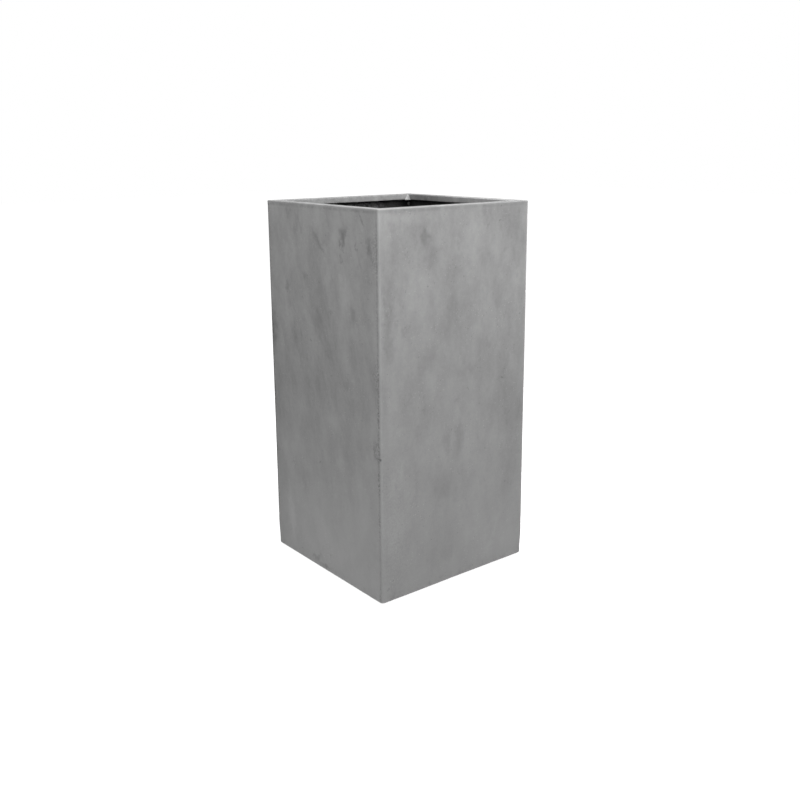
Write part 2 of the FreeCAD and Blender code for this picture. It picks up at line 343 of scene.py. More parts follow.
class Nodes:
    """Short calls that make the nodes of a material or of the world."""

    def __init__(self, owner):
        owner.use_nodes = True
        self.owner = owner
        self.tree = owner.node_tree

    def give(self, node, key, value):
        """Links a value to one input of a node, or sets it there."""
        if isinstance(value, Value):
            value = value.socket
        if isinstance(value, bpy.types.NodeSocket):
            self.tree.links.new(value, node.inputs[key])
        else:
            node.inputs[key].default_value = value

    def add(self, kind, inputs=(), **settings):
        node = self.tree.nodes.new(kind)
        for key, value in settings.items():
            setattr(node, key, value)
        for key, value in dict(inputs).items():
            self.give(node, key, value)
        return node

    def math(self, operation, *values):
        return Value(self, self.add("ShaderNodeMath", enumerate(values), operation=operation).outputs[0])

    def vector(self, operation, *values):
        return self.add("ShaderNodeVectorMath", enumerate(values), operation=operation).outputs[0]


class Surface(Nodes):
    """The nodes of a piece's material. Patterns take their place on the object in metres."""

    def __init__(self, name):
        super().__init__(bpy.data.materials.new(name))
        self.place = self.add("ShaderNodeTexCoord").outputs["Object"]

    def turned(self, angles, stretch=(1, 1, 1)):
        """The place turned by angles in degrees, then scaled."""
        rotation = [math.radians(angle) for angle in angles]
        turned = self.add("ShaderNodeMapping", {"Vector": self.place, "Rotation": rotation})
        return self.vector("MULTIPLY", turned.outputs[0], stretch)

    def leaning(self, angle, squeeze):
        """The place leant over in degrees and squeezed in height, which draws a pattern out upwards."""
        return self.turned((angle, 0, 0), (1, 1, squeeze))

    def wavering(self, wavelength, reach):
        """The place moved about by noise, which makes outlines uneven."""
        noise = self.add("ShaderNodeTexNoise", {"Vector": self.place, "Scale": 1 / wavelength, "Detail": 4})
        shift = self.vector("SUBTRACT", noise.outputs["Color"], (0.5, 0.5, 0.5))
        return self.vector("MULTIPLY_ADD", shift, (reach, reach, reach), self.place)

    def noise(self, wavelength, detail=2.0, roughness=0.5, place=None):
        """Cloudy noise from 0 to 1, about 0.5 on average."""
        node = self.add("ShaderNodeTexNoise", {
            "Vector": place or self.place,
            "Scale": 1 / wavelength,
            "Detail": detail,
            "Roughness": roughness,
        })
        return Value(self, node.outputs[0])

    def dots(self, spacing, radius, place=None):
        """1 inside scattered round dots, 0 between them."""
        node = self.add("ShaderNodeTexVoronoi", {"Vector": place or self.place, "Scale": 1 / spacing})
        distance = Value(self, node.outputs["Distance"])
        return distance.step(radius / spacing, 0.35 * radius / spacing)

    def smudge(self, centre, reach, turn=(0, 0, 0), place=None):
        """1 in the middle of an oval patch, 0 at its reach and outside."""
        oval = self.add("ShaderNodeMapping", {
            "Vector": place or self.place,
            "Location": centre,
            "Rotation": turn,
            "Scale": reach,
        }, vector_type="TEXTURE")
        ball = self.add("ShaderNodeTexGradient", {"Vector": oval.outputs[0]}, gradient_type="SPHERICAL")
        return Value(self, ball.outputs["Fac"])

    def finish(self, tone, roughness, relief, relief_depth, specular=0.3):
        """Joins a grey tone, the roughness and the fine relief to the shader."""
        bump = self.add("ShaderNodeBump", {"Height": relief, "Distance": relief_depth})
        shader = self.tree.nodes["Principled BSDF"]
        self.give(shader, "Base Color", tone.larger(0.0))
        self.give(shader, "Roughness", roughness)
        self.give(shader, "Normal", bump.outputs[0])
        self.give(shader, "Specular IOR Level", specular)
        return self.owner


# Painted light and shade, and marks left by the hand rubbing: place on the face, half width, half height,
# tilt, change of tone.
# Places are millimetres from the planter's centre line and from the floor.
LEFT_SHADES_AND_MARKS = (
    # Broad shades first: painted shade across the middle, painted light low down where the floor's light
    # falls, and broad changes of tone.
    # Painted shade across the middle of the face.
    (0, 440, 280, 260, 0, -0.11),
    # Painted light low on the face, where the floor's light falls.
    (0, -10, 340, 290, 0, 0.3),
    (200, 480, 70, 420, 0, -0.12),
    (80, 745, 260, 120, 0, 0.02),
    (175, 375, 80, 150, 0, -0.08),
    (6, 605, 44, 150, 4, -0.13),
    (12, 440, 26, 90, 0, -0.03),
    (-150, 200, 100, 140, 0, 0.05),
    # Dark smears and stains.
    (-86, 740, 16, 32, -8, -0.48),
    (-78, 722, 6, 12, 30, -0.28),
    (-172, 728, 13, 24, 0, -0.28),
    (-131, 724, 6, 14, 20, -0.28),
    (-148, 776, 18, 5, -60, -0.31),
    (-76, 695, 10, 10, 30, -0.22),
    (117, 781, 16, 18, 0, -0.17),
    (0, 724, 10, 60, 42, -0.20),
    (85, 730, 13, 56, 4, -0.08),
    (-45, 747, 22, 34, 0, -0.09),
    (10, 560, 30, 44, 0, -0.08),
    (127, 620, 14, 14, 0, -0.22),
    (55, 650, 14, 14, 0, -0.17),
    (-116, 583, 20, 28, 0, -0.19),
    (100, 508, 18, 36, 10, -0.14),
    (192, 520, 24, 80, 0, -0.30),
    (192, 238, 14, 22, 0, -0.20),
    (-30, 500, 14, 60, 25, -0.09),
    (78, 185, 14, 60, 10, -0.09),
    (-28, 205, 8, 44, 10, -0.08),
    (-184, 326, 8, 30, 0, -0.20),
    (40, 22, 36, 10, 12, -0.3),
    (6, 10, 24, 8, 0, -0.36),
    # Pale rubbed spots.
    (67, 762, 24, 36, 10, 0.09),
    (-25, 708, 18, 22, 0, 0.09),
    (-86, 625, 30, 60, 6, 0.09),
    (-95, 426, 50, 18, 0, 0.09),
    (-30, 352, 30, 26, 0, 0.07),
    (-58, 266, 26, 30, 0, 0.10),
    (138, 108, 22, 116, 4, 0.17),
    (-168, 302, 34, 34, 0, 0.09),
    (-70, 385, 60, 60, 0, 0.05),
    (78, 470, 26, 60, 15, 0.07),
)
FRONT_SHADES_AND_MARKS = (
    # Broad shades first: painted light high up beside the near edge, and broad changes of tone.
    (0, 400, 320, 200, 0, -0.04),
    (170, 430, 130, 420, 0, -0.08),
    # Painted light high up beside the near edge.
    (-130, 620, 130, 220, 0, 0.05),
    (165, 745, 110, 110, 0, -0.11),
    # Painted light at the top beside the near edge.
    (-178, 765, 42, 58, 0, 0.10),
    (160, 70, 110, 150, 25, 0.05),
    (-165, 170, 34, 120, 0, 0.05),
    (-15, 218, 90, 64, 0, -0.07),
    (-50, 85, 64, 60, 0, -0.06),
    # Dark smears and stains.
    (-86, 738, 20, 34, 0, -0.25),
    (-66, 706, 30, 40, 20, -0.18),
    (-110, 730, 10, 20, 10, -0.11),
    (-8, 735, 26, 60, 0, -0.07),
    (-8, 680, 34, 50, 0, -0.08),
    (-12, 600, 52, 130, 0, -0.12),
    (34, 556, 20, 40, 0, -0.07),
    (-172, 598, 24, 116, 0, -0.19),
    (-176, 525, 18, 50, 0, -0.10),
    (-160, 715, 16, 90, 0, -0.09),
    (137, 700, 14, 12, 0, -0.09),
    (112, 615, 16, 60, 0, -0.07),
    (-70, 505, 28, 28, 0, -0.08),
    (-95, 345, 28, 28, 0, -0.08),
    (-26, 312, 20, 38, 0, -0.12),
    (8, 315, 20, 50, 0, -0.12),
    (150, 325, 44, 110, 0, -0.06),
    (185, 340, 22, 44, 0, -0.07),
    (-38, 208, 32, 44, 0, -0.06),
    (-107, 222, 14, 66, 0, -0.08),
    (150, 205, 30, 110, 0, -0.11),
    (-190, 100, 20, 76, 0, -0.08),
    (-28, 65, 22, 38, 0, -0.06),
    # Pale rubbed spots.
    (-110, 665, 60, 74, 0, 0.07),
    (-78, 655, 16, 30, 0, 0.05),
    (40, 705, 30, 40, 0, 0.03),
    (-163, 430, 26, 84, 0, 0.07),
    (-72, 455, 28, 62, 0, 0.06),
    (-140, 357, 18, 26, 0, 0.06),
    (-105, 292, 60, 36, 0, 0.05),
    (100, 38, 22, 32, 0, 0.08),
    (112, 80, 10, 80, 22, 0.05),
    (-130, 781, 120, 22, 0, 0.15),
)
OVAL_DEPTH = 40 * MM

# Gritty stretches of the left face beside the near upright edge: height and half height, millimetres.
EDGE_WEAR = ((715, 80), (476, 50), (324, 38))

# Strengths of the stone's layers as shares of its tone. Below zero they darken it. Where a layer
# is a noise about its middle, this is the whole swing.
LAYER = SimpleNamespace(
    clouds=0.17,
    patches=0.38,
    smears=0.09,
    mottle=0.10,
    blots=-0.05,
    grit=0.13,
    rough_band_grit=0.50,
    grain=0.08,
    pale_dots=0.26,
    # Painted shade in the pinholes and pits, whose hollows are only in the bump relief.
    pinholes=-0.30,
    pit_shade=-0.26,
    edge_band=-0.08,
    edge_grit=1.7,
    edge_crumbs=0.16,
    edge_seam=-0.17,
    # Painted highlights beside and on the upright edges, and painted shade in a small hole.
    side_highlight=0.08,
    edge_highlight=0.07,
    edge_hole_shade=-0.6,
    # Painted highlight on the rim's edge, and the line below it, partly painted shade.
    rim_highlight=0.12,
    rim_shade_and_dirt_line=-0.20,
    stain=0.9,
    stain_grit=0.45,
    # Painted light on the right side's return.
    return_painted_light=1.5,
    # Painted light along the foot.
    foot_painted_light=0.60,
    foot_scuffs=-0.15,
)
STONE_TONE = 0.31
PUTTY_TONE = 0.54


def shade_and_mark_ovals():
    """Centre, reach, turn and change of tone of each painted shade and mark on the left and front faces."""
    for along, up, half_width, half_height, tilt, change in LEFT_SHADES_AND_MARKS:
        centre = (-size.half, along * MM, up * MM)
        reach = (OVAL_DEPTH, half_width * MM, half_height * MM)
        yield centre, reach, (-math.radians(tilt), 0, 0), change
    for along, up, half_width, half_height, tilt, change in FRONT_SHADES_AND_MARKS:
        centre = (along * MM, -size.half, up * MM)
        reach = (half_width * MM, OVAL_DEPTH, half_height * MM)
        yield centre, reach, (0, math.radians(tilt), 0), change


class Stone(Surface):
    """Matt grey stone-filled resin: cloudy, rubbed by hand, with pale grit, pinholes darkened by painted
    shade, and painted light and shade on its faces, rim and foot. Each layer of it is a method that gives a
    change of tone."""

    def __init__(self):
        super().__init__("stone_resin")
        axes = self.add("ShaderNodeSeparateXYZ", {0: self.vector("ABSOLUTE", self.place)}).outputs
        x_out, y_out, self.level = [Value(self, axis) for axis in axes]
        self.below_rim = size.height - self.level
        self.inward = size.half - x_out.larger(y_out)
        self.edge_gap = size.half - x_out.smaller(y_out)
        self.on_x_faces = (x_out - y_out).step(0.0, 4 * MM)
        self.on_y_faces = 1.0 - self.on_x_faces
        self.uneven_place = self.wavering(16 * MM, 34 * MM)
        self.smears = self.noise(17 * MM, 3, 0.6, self.leaning(20, 0.30))
        self.grit = self.noise(3.2 * MM, 3, 0.7)
        self.grain = self.noise(0.9 * MM, 2, 0.7)
        self.edge_band = self.find_edge_band()
        in_clusters = self.noise(36 * MM, 2).step(0.48, 0.64)
        by_edges = self.edge_band * self.noise(6 * MM, 2, 0.7).step(0.50, 0.60)
        crowd = in_clusters.larger(by_edges)
        self.pale_dots = self.dots(7 * MM, 1.5 * MM) * crowd
        self.pinholes = self.dots(8.5 * MM, 1.3 * MM, self.turned((31, 17, 5))) * crowd

    def find_edge_band(self):
        """Uneven gritty stretches along the upright edges, on the left and right faces."""
        patches = self.noise(30 * MM, 2, place=self.leaning(0, 0.5)).step(0.40, 0.58)
        band = self.edge_gap.step(15 * MM, 5 * MM) * patches
        for up, half_height in EDGE_WEAR:
            centre = (-size.half, 8 * MM - size.half, up * MM)
            reach = (60 * MM, 22 * MM, half_height * MM)
            stretch = self.smudge(centre, reach, place=self.uneven_place)
            band = band.larger(stretch.step(0.10, 0.70, 0.6))
        return band * self.on_x_faces

    def rubbing(self):
        """Clouds, patches and smears, strongest near the rim and fading towards the foot."""
        clouds = self.noise(130 * MM, 3, 0.5, self.leaning(0, 0.6))
        patches = self.noise(38 * MM, 5, 0.60, self.leaning(10, 0.5))
        blots = self.noise(26 * MM, 3, 0.6, self.leaning(20, 0.5)).step(0.60, 0.70, LAYER.blots)
        mottle = self.noise(9 * MM, 3, 0.6)
        uneven = clouds.swing(LAYER.clouds) + patches.swing(LAYER.patches)
        uneven = uneven + self.smears.swing(LAYER.smears) + mottle.swing(LAYER.mottle) + blots
        towards_rim = self.level.step(-200 * MM, size.height) * 0.95 + 0.55
        return uneven * towards_rim * (self.on_x_faces * 0.12 + 1.0)

    def fine_grain(self):
        """Fine grit, stronger in a band low on the front face, and finer grain."""
        rough_band = self.smudge((-165 * MM, -size.half, 150 * MM), (48 * MM, 40 * MM, 210 * MM))
        grit = self.grit.swing(rough_band * LAYER.rough_band_grit + LAYER.grit)
        return grit + self.grain.swing(LAYER.grain)

    def shades_and_marks(self):
        """The painted light and shade and the marks of both visible faces, with uneven outlines."""
        total = 0.0
        for centre, reach, turn, change in shade_and_mark_ovals():
            total = self.smudge(centre, reach, turn, self.uneven_place).step(0.0, 1.0, change) + total
        return total

    def specks(self):
        """Pale grit, and pinholes and larger shallow pits darkened with painted shade."""
        pit_patches = self.noise(70 * MM, 2).step(0.46, 0.60, LAYER.pit_shade)
        pit_shade = self.dots(24 * MM, 2.8 * MM, self.uneven_place) * pit_patches
        return self.pale_dots * LAYER.pale_dots + self.pinholes * LAYER.pinholes + pit_shade

    def gritty_edges(self):
        """Dark broken grit, pale crumbs and a fine broken seam beside the upright edges."""
        grit = self.edge_band * self.noise(5 * MM, 2, 0.7).swing(LAYER.edge_grit)
        crumbs = self.noise(7 * MM, 2, 0.6).step(0.56, 0.66) * self.level.step(0.45, 0.75, LAYER.edge_crumbs)
        seam = self.edge_gap.step(9 * MM, 5.5 * MM) * self.edge_gap.step(0.8 * MM, 2.4 * MM)
        seam_breaks = self.noise(7 * MM, 3, 0.7).step(0.34, 0.60) * 0.75 + 0.25
        seam = seam * self.on_x_faces * seam_breaks
        return grit + self.edge_band * (crumbs + LAYER.edge_band) + seam * LAYER.edge_seam

    def edge_highlights(self):
        """Painted highlights along the upright edges of the front and back faces, brighter higher up, and
        painted shade in one small hole in the near edge.
        """
        upper_part = self.level.step(0.25, 0.65) * 0.8 + 0.2
        # Painted highlight beside the upright edges, fading towards the foot.
        side = self.edge_gap.step(15 * MM, 3 * MM, LAYER.side_highlight) * upper_part
        light = self.edge_gap.step(7 * MM, 4 * MM, LAYER.edge_highlight) * self.level.step(0.06, 0.25)
        # Painted shade in a small hole in the near edge.
        hole = self.smudge((-size.half, -size.half, 311 * MM), (4.6 * MM, 4.6 * MM, 5.2 * MM))
        return self.on_y_faces * (side + light) + hole.step(0.10, 0.55, LAYER.edge_hole_shade)

    def rim(self):
        """A painted highlight on the rim's rounded edge, and a dark uneven line just below it, partly
        painted shade under that edge and partly dirt that rubbing leaves.
        """
        highlight_breaks = self.noise(24 * MM, 3, 0.7).step(0.38, 0.56, LAYER.rim_highlight)
        line = self.below_rim.step(2.2 * MM, 4.2 * MM) * self.below_rim.step(11 * MM, 6.5 * MM)
        line_breaks = self.noise(20 * MM, 3, 0.7).step(0.36, 0.62) * 0.85 + 0.15
        line = line * line_breaks * self.inward.step(4 * MM, 2.5 * MM)
        line = line * (self.on_x_faces * 0.5 + 0.5)
        return self.below_rim.step(1.8 * MM, 0.9 * MM) * highlight_breaks + line * LAYER.rim_shade_and_dirt_line

    def inside(self):
        """The return inside the mouth was never rubbed: it is stained and gritty, and the return on the
        right side carries painted light, strongest by the front corner.
        """
        # Painted light on the right side's return, fading towards the far corner.
        return_painted_light = self.smudge((size.half, -size.half, size.height), (60 * MM, 330 * MM, 60 * MM))
        stain = self.noise(15 * MM, 4, 0.65).swing(LAYER.stain) + self.grit.swing(LAYER.stain_grit)
        return (stain + return_painted_light * LAYER.return_painted_light) * self.inward.step(20 * MM, 22 * MM)

    def foot(self):
        """Painted light along the foot's rounding, lifting the shade it takes there, and scuffs along the
        foot.
        """
        scuffs = self.noise(13 * MM, 3, 0.65).step(0.50, 0.66, LAYER.foot_scuffs)
        # Painted light on the lowest few millimetres, and scuffs above them.
        return self.level.step(7 * MM, 3 * MM, LAYER.foot_painted_light) + self.level.step(26 * MM, 4 * MM) * scuffs


def make_stone():
    """The stone's material, from the sum of its layers."""
    nodes = Stone()
    tone = 1.0 + nodes.rubbing() + nodes.fine_grain() + nodes.shades_and_marks() + nodes.specks()
    tone = tone + nodes.gritty_edges() + nodes.edge_highlights() + nodes.rim() + nodes.inside() + nodes.foot()
    roughness = nodes.smears.swing(0.25) + 0.80
    relief = nodes.grit * 0.5 + nodes.grain * 0.25 + nodes.smears * 0.6
    relief = relief - nodes.pinholes + nodes.pale_dots * 0.4
    return nodes.finish(tone * STONE_TONE, roughness, relief, 0.35 * MM)


def make_putty():
    """Pale filler, lumpy and grainy."""
    nodes = Surface("putty")
    lumps = nodes.noise(6 * MM, 3, 0.6)
    grain = nodes.noise(1.4 * MM, 3, 0.7)
    tone = (1.0 + lumps.swing(0.5) + grain.swing(0.35)) * PUTTY_TONE
    return nodes.finish(tone, lumps.swing(0.2) + 0.8, lumps + grain * 0.6, 0.5 * MM)


def make_laminate(name, normal_axis):
    """Black glass laminate: fibre bundles at all angles in the plane across normal_axis, under
    resin, with a paler speckled patch high on the back wall and dust in the far corner."""
    nodes = Surface(name)
    fibres = 0.0
    for turn in (8, 52, 97, 141):
        angles = [0, 0, 0]
        angles[normal_axis] = turn
        along = [1, 1, 1]
        along[(normal_axis + 1) % 3] = 0.05
        bundle = nodes.noise(1.1 * MM, 1, 0.5, nodes.turned(angles, along))
        fibres = bundle.step(0.56, 0.70).larger(fibres)
    flow = nodes.noise(45 * MM, 3, 0.6)
    specks = nodes.noise(2.6 * MM, 2, 0.7).step(0.56, 0.68)
    patch = nodes.smudge((62 * MM, size.mat_face, 745 * MM), (76 * MM, 60 * MM, 62 * MM))
    # A paler speckled patch high on the back wall.
    pale_patch = patch.step(0.0, 0.30, 0.25) * nodes.noise(9 * MM, 3, 0.7).step(0.36, 0.58)
    dust = nodes.smudge((size.mat_face, size.mat_face, 782 * MM), (70 * MM, 70 * MM, 50 * MM)) * 0.10
    tone = 0.012 + fibres * (flow * 0.030 + 0.002) + specks * 0.010
    tone = tone + pale_patch * (specks * 0.65 + 0.35) + dust * (specks * 0.5 + 0.5)
    return nodes.finish(tone, flow.swing(0.5) + 0.42, fibres + specks * 0.6, 0.35 * MM, specular=0.45)


def make_rubber():
    """Matt black moulded rubber with a little dust."""
    nodes = Surface("black_rubber")
    dust = nodes.noise(12 * MM, 4, 0.7).step(0.48, 0.72)
    grain = nodes.noise(0.8 * MM, 2, 0.6)
    tone = dust * 0.022 + grain.swing(0.012) + 0.020
    return nodes.finish(tone, dust * 0.25 + 0.58, grain, 0.15 * MM, specular=0.4)


# ---- outer shell

def shell_sections():
    """The facing's closed section as rings: half width, corner radius, level, how far the
    surface faces up or down there (1 up, 0 out, -1 down), how much it is worn, and map share."""
    wall_low = size.ring_level + FOOT_RADIUS
    wall_high = size.height - RIM_RADIUS

    # Cavity wall and rim top, which the mats and lips cover or meet.
    levels = (size.facing_floor, size.mat_top, size.height)
    rings = [(size.cavity, 0.3 * MM, level, 0, 0, 0.05) for level in levels]
    rings.append((size.cavity + 0.7 * MM, 0.8 * MM, size.height, 1, 0.3, 0.3))
    for out, up in arc_points(RIM_RADIUS, 90, 0, 5):
        inset = RIM_RADIUS - out
        rings.append((size.half - inset, EDGE_RADIUS - inset, wall_high + up, up / RIM_RADIUS, 1, 0.6))

    # Outer wall, whose upright edges are rounder near the foot.
    levels = graded((wall_high - wall_low) / 2, 1.6 * MM, 1.15, 3.8 * MM)
    for level in (wall_high + wall_low) / 2 - levels[1:-1]:
        near_foot = 1 - fade(level, 12 * MM, 60 * MM)
        radius = EDGE_RADIUS + near_foot * (WORN_CORNER_RADIUS - EDGE_RADIUS)
        rings.append((size.half, radius, level, 0, 1, 1))

    # Rounded foot, standing ring and shallow recess.
    for out, up in arc_points(FOOT_RADIUS, 0, -90, 8):
        inset = FOOT_RADIUS - out
        radius = WORN_CORNER_RADIUS - inset * 0.6
        rings.append((size.half - inset, radius, wall_low + up, up / FOOT_RADIUS, 1, 0.8))
    rings.append((size.half - 20 * MM, 8 * MM, size.ring_level, -1, 0.4, 0.3))
    ring_inside = size.half - RING_WIDTH
    centre = (ring_inside + RING_INNER_RADIUS, size.ring_level + RING_INNER_RADIUS)
    for half, level in round_corner(centre, RING_INNER_RADIUS, 270, 180, 3):
        rings.append((half, RECESS_RADIUS, level, -1, 0.2, 0.1))
    rings.append((ring_inside, RECESS_RADIUS, RECESS_LEVEL, 0, 0, 0.1))
    return rings


def shell_relief(points):
    """How far the hand-finished surface lies below the true one, which is at most touched."""
    level = points[:, 2]
    swell = 0.30 * MM * (1 + wall_swell(points)) + 0.07 * MM * (1 + wall_hand(points))
    calm_rim = 1 - 0.75 * fade(level, size.height - 12 * MM, size.height - 3 * MM)
    edge_gap = size.half - np.abs(points[:, :2]).min(axis=1)
    by_edge = 1 - fade(edge_gap, 3 * MM, 11 * MM)
    by_rim = 0.55 * fade(level, size.height - 5 * MM, size.height - 1 * MM)
    by_foot = 1 - fade(level, 5 * MM, 16 * MM)
    exposed = np.maximum(np.maximum(by_edge, by_rim), by_foot)
    dents = 1.1 * MM * np.clip(edge_wear(points) - 0.45, 0, None)
    nicks = 1.6 * MM * np.clip(edge_chips(points) - 0.55, 0, None)
    return swell * calm_rim + exposed * (dents + nicks)


def make_shell(material):
    """The grey moulded facing, four walls and floor in one, with the drain hole's bore."""
    loop = SquareLoop(size.half - EDGE_RADIUS, 1.5 * MM, 1.25, 8 * MM, 7)
    rows = []
    weights = []
    for half, radius, level, up, worn, share in shell_sections():
        ring = loop.square(half, radius, level)
        if worn:
            flat = math.sqrt(max(1 - up * up, 0))
            inward = -np.column_stack([loop.normal * flat, np.full(loop.count, up)])
            ring = ring + inward * (shell_relief(ring) * worn)[:, None]
        rows.append(ring)
        weights.append(share)
    underside = ((110 * MM, 0.3), (50 * MM, 0.3), (DRAIN_RADIUS, 0.2))
    floor_top = ((DRAIN_RADIUS, 0.1), (60 * MM, 0.1), (130 * MM, 0.1))
    for level, circles in ((RECESS_LEVEL, underside), (size.facing_floor, floor_top)):
        for radius, share in circles:
            rows.append(loop.circle(radius, level))
            weights.append(share)
    pile = Pile()
    pile.add_loop(np.array(rows), (0, 0, 1, 1), weights)
    new_piece("stone_shell", pile, material, "planter", "outer_shell", 35)


# ---- lips and fillers

def place_on_side(side, out, along, level):
    """Points from distances out from the centre, along the side towards the next, and up."""
    out, along, level = np.broadcast_arrays(out, along, level)
    flat = out[..., None] * OUTWARD[side] + along[..., None] * OUTWARD[side + 1]
    return np.concatenate([flat, level[..., None]], axis=-1)


def lip_section():
    """The lip's angle-shaped section: distance out and level, going round."""
    top_centre = (size.mouth + LIP_TOP_RADIUS, size.height - LIP_TOP_RADIUS)
    low_centre = (size.mouth + LIP_LOWER_RADIUS, size.return_level + LIP_LOWER_RADIUS)
    return_back = size.mouth + RETURN_THICKNESS
    under = size.height - LIP_THICKNESS
    return np.array([
        (size.cavity, size.height),
        (size.cavity - 5 * MM, size.height),
        (size.cavity - 12 * MM, size.height),
        (top_centre[0] + 3 * MM, size.height),
        *round_corner(top_centre, LIP_TOP_RADIUS, 90, 180, 4),
        *[(size.mouth, level) for level in np.linspace(top_centre[1], low_centre[1], 5)[1:-1]],
        *round_corner(low_centre, LIP_LOWER_RADIUS, 180, 270, 3),
        (return_back, size.return_level),
        (return_back, under),
        (size.cavity, under),
    ])


def lip_unevenness(points, coarse, fine):
    """The lip's hand-made waves, from the depths of its coarse and fine ones."""
    return coarse * lip_wave(points) + fine * lip_ragged(points)


def make_lip(side, material):
    """One side of the flat rim with its short return, cut at 45 degrees at both ends."""
    section = lip_section()
    out = section[None, :, 0]
    level = section[None, :, 1]
    share = graded(1.0, 0.008, 1.2, 0.024)[:, None]
    points = place_on_side(side, out, out * share, level)

    # The top sags a little, the return's lower edge is ragged, and its face is pushed in and out.
    depth_in = fade(size.cavity - out, 1 * MM, 9 * MM)
    from_mitre = fade(np.abs(out * (1 - np.abs(share))), 1 * MM, 12 * MM)
    top_part = fade(level, size.return_level + 1 * MM, size.return_level + 9 * MM)
    on_face = 1 - fade(out, size.mouth + 1 * MM, size.mouth + 3.5 * MM)
    sag = 0.21 * MM + lip_unevenness(points, 0.16 * MM, 0.05 * MM)
    tear = lip_unevenness(points, 0.35 * MM, 0.30 * MM)
    points[..., 2] += tear * (1 - top_part) - sag * depth_in * top_part
    push = lip_unevenness(points, 0.28 * MM, 0.12 * MM) * from_mitre * depth_in * on_face
    points[..., :2] += push[..., None] * OUTWARD[side]
    pile = Pile()
    pile.add_bar(points, (0, 0, 0.98, 1))
    name = SIDES[side]
    new_piece(f"rim_{name}", pile, material, "planter", f"lip_{name}", 35)


# Radius of each corner's cove of putty at its top and bottom, in millimetres.
COVE_RADII = ((3, 6), (4, 5.5), (3, 9.5), (3.5, 6.5))

# A small dab of putty that fell on the laminate below the far corner.
DRIP_LEVEL = 776.5 * MM
DRIP_FROM_WALLS = 5 * MM
DRIP_REACH = (7.5 * MM, 3.2 * MM, 4.4 * MM)


def make_fillers(material):
    """Lumpy coves of putty in the four inner corners, and the fallen drip."""
    pile = Pile()
    levels = np.linspace(size.height - 1.2 * MM, size.return_level - 0.6 * MM, 16)
    for corner, (top, bottom) in enumerate(COVE_RADII):
        radii = np.linspace(top, bottom, len(levels)) * MM
        rows = [cove_ring(corner, radius, level) for radius, level in zip(radii, levels)]
        pile.add_bar(np.array(rows), (0, corner / 4, 0.9, (corner + 0.95) / 4))
    pile.add_bar(drip_rings(), (0.92, 0, 0.99, 0.4))
    new_piece("putty_fillers", pile, material, "planter", "lip_corner_fillers", 60)


def cove_ring(corner, radius, level):
    """One level of a cove: its uneven hollow front, then its back just inside the lips."""
    sign = np.array(CORNER_SIGNS[corner])
    arc = np.linspace(0, 1, 11)
    angle = arc * math.pi / 2
    front = size.mouth - radius * (1 - np.column_stack([np.sin(angle), np.cos(angle)]))
    points = np.column_stack([front * sign, np.full(len(arc), level)])
    bulge = (0.5 + 0.8 * putty_lumps(points)) * 0.25 * radius * np.sin(arc * math.pi)
    points[:, :2] -= bulge[:, None] * sign / math.sqrt(2)
    hidden = size.mouth + 0.8 * MM
    start = size.mouth - radius
    back = np.array([(hidden, start), (hidden, hidden), (start, hidden)])
    return np.concatenate([points, np.column_stack([back * sign, np.full(3, level)])])


def drip_rings():
    """The fallen drip: an uneven ball, longest away from the corner."""
    corner = size.mat_face - DRIP_FROM_WALLS
    centre = np.array([corner, corner, DRIP_LEVEL])
    ways = np.array([(-1, -1, 0), (1, -1, 0), (0, 0, math.sqrt(2))]) / math.sqrt(2)
    longitude = np.radians(np.arange(0, 360, 30))
    rings = []
    for latitude in np.radians(np.linspace(-80, 80, 9)):
        inward = np.cos(longitude) * math.cos(latitude)
        across = np.sin(longitude) * math.cos(latitude)
        up = np.full(len(longitude), math.sin(latitude))
        shift = (np.column_stack([inward, across, up]) * DRIP_REACH) @ ways
        lumps = putty_lumps((centre + shift) * 2)
        rings.append(centre + shift * (1 + 0.35 * lumps)[:, None])
    return np.array(rings)


# ---- glass laminate

STRAND_STATIONS = 5
STRAND_TAPER = np.array([0.3, 1, 1, 1, 0.3])
STRAND_SINK = 0.45 * MM


def mat_relief(points):
    """Height of the laminate's uneven face over its true face."""
    return 0.28 * MM * mat_swell(points) + 0.16 * MM * mat_lumps(points)


def on_wall_mat(side, along, level, height=0.0):
    """Points at a height above the uneven face of a wall's laminate."""
    points = place_on_side(side, size.mat_face, along, level)
    points[..., :2] -= (mat_relief(points) + height)[..., None] * OUTWARD[side]
    return points


def strands(draw, count, area, lay, keep_out=0.0):
    """Chopped strands lying at random in an area (u, v limits): closed three-sided tubes.
    lay(u, v, height) gives the points. Strands within keep_out of the area's origin are dropped."""
    length = draw.uniform(30, 50, count) * MM
    angle = draw.uniform(0, math.pi, count)
    bend = draw.normal(0, 2.2, count)
    width = draw.uniform(0.5, 1.1, count) * MM
    lift = draw.uniform(0.12, 0.42, count) * MM
    u_low, v_low, u_high, v_high = area
    u_middle = draw.uniform(u_low, u_high, count)
    v_middle = draw.uniform(v_low, v_high, count)
    run = np.linspace(-0.5, 0.5, STRAND_STATIONS) * length[:, None]
    side = bend[:, None] * run ** 2
    cos = np.cos(angle)[:, None]
    sin = np.sin(angle)[:, None]
    u = u_middle[:, None] + run * cos - side * sin
    v = v_middle[:, None] + run * sin + side * cos
    inside = (u > u_low) & (u < u_high) & (v > v_low) & (v < v_high) & (np.hypot(u, v) > keep_out)
    across = width[:, None] * STRAND_TAPER
    left = lay(u + across * sin, v - across * cos, -STRAND_SINK)
    ridge = lay(u, v, lift[:, None] * STRAND_TAPER)
    right = lay(u - across * sin, v + across * cos, -STRAND_SINK)
    return np.stack([left, ridge, right], axis=2)[inside.all(axis=1)]


